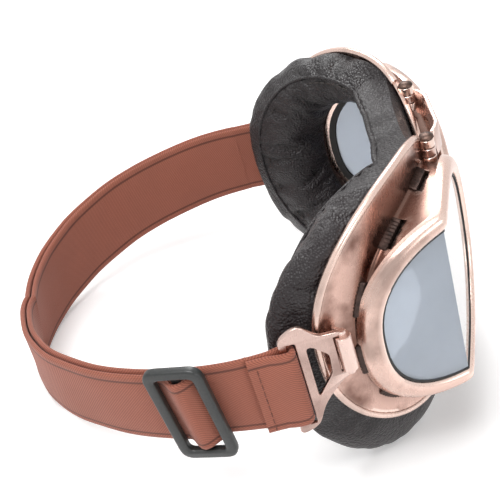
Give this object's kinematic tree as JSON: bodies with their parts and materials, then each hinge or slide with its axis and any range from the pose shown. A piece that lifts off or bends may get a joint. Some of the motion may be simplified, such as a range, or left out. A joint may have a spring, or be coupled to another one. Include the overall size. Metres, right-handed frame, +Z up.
{
  "type": "goggles",
  "caption": "Vintage aviator style steampunk goggles: two hinged copper cups with split lenses, padded leather cushions, hook plates and an elastic strap with a slider.",
  "frame": {"origin": "on the surface that the goggles stand on, in their plane of symmetry, halfway between their front and the back of the strap", "axes": "+X towards the wearer's left, +Y towards the back of the strap, +Z up"},
  "size_m": [0.1352, 0.1383, 0.0883],
  "materials": {
    "copper": "antique copper plate, polished",
    "dark_pin": "dark burnished",
    "lens_glass": "light smoke grey",
    "gasket_rubber": "black",
    "vent_mesh": "dark ribbed",
    "leather": "black brown, grained",
    "foam": "soft foam",
    "webbing": "reddish brown elastic webbing",
    "slider_plastic": "moulded"
  },
  "bodies": {
    "bridge": {"bridge_plate": "copper", "bridge_pins": "dark_pin", "nose_leather": "leather", "strap_outer": "webbing", "strap_inner": "webbing"},
    "left_cup": {"left_frame": "copper", "left_rim": "copper", "left_front_pane": "lens_glass", "left_side_pane": "lens_glass", "left_gasket": "gasket_rubber", "left_vent_mesh": "vent_mesh", "left_binding": "copper", "left_cushion": "leather", "left_foam": "foam"},
    "right_cup": {"right_frame": "copper", "right_rim": "copper", "right_front_pane": "lens_glass", "right_side_pane": "lens_glass", "right_gasket": "gasket_rubber", "right_vent_mesh": "vent_mesh", "right_binding": "copper", "right_cushion": "leather", "right_foam": "foam"},
    "left_hook": {"left_hook_plate": "copper", "left_strap_fold": "webbing", "strap_far": "webbing"},
    "right_hook": {"right_hook_plate": "copper", "right_strap_fold": "webbing", "strap_front": "webbing"},
    "slider": {"slider": "slider_plastic", "slider_webbing": "webbing"}
  },
  "joints": [
    {"name": "left_cup_hinge", "type": "hinge", "parent": "bridge", "child": "left_cup", "pos_m": [0.0168, -0.05263, 0.07991], "axis": [0, 0.225, 0.9744], "range_deg": [-17, 13], "deforming": ["strap_outer", "strap_inner", "nose_leather"]},
    {"name": "right_cup_hinge", "type": "hinge", "parent": "bridge", "child": "right_cup", "pos_m": [-0.0168, -0.05263, 0.07991], "axis": [0, -0.225, -0.9744], "range_deg": [-17, 13], "deforming": ["strap_outer", "strap_inner", "nose_leather"]},
    {"name": "left_hook_hinge", "type": "hinge", "parent": "left_cup", "child": "left_hook", "pos_m": [0.0624, -0.02567, 0.04834], "axis": [0, -0.225, -0.9744], "range_deg": [-2, 20], "deforming": ["strap_outer", "strap_inner"]},
    {"name": "right_hook_hinge", "type": "hinge", "parent": "right_cup", "child": "right_hook", "pos_m": [-0.0624, -0.02567, 0.04834], "axis": [0, 0.225, 0.9744], "range_deg": [-2, 20], "deforming": ["strap_outer", "strap_inner"]},
    {"name": "slider_slide", "type": "slide", "parent": "right_hook", "child": "slider", "axis": [0.2782, 0.9244, -0.2609], "range_m": [-0.004, 0.008], "deforming": ["strap_outer", "strap_inner", "strap_front"]}
  ]
}
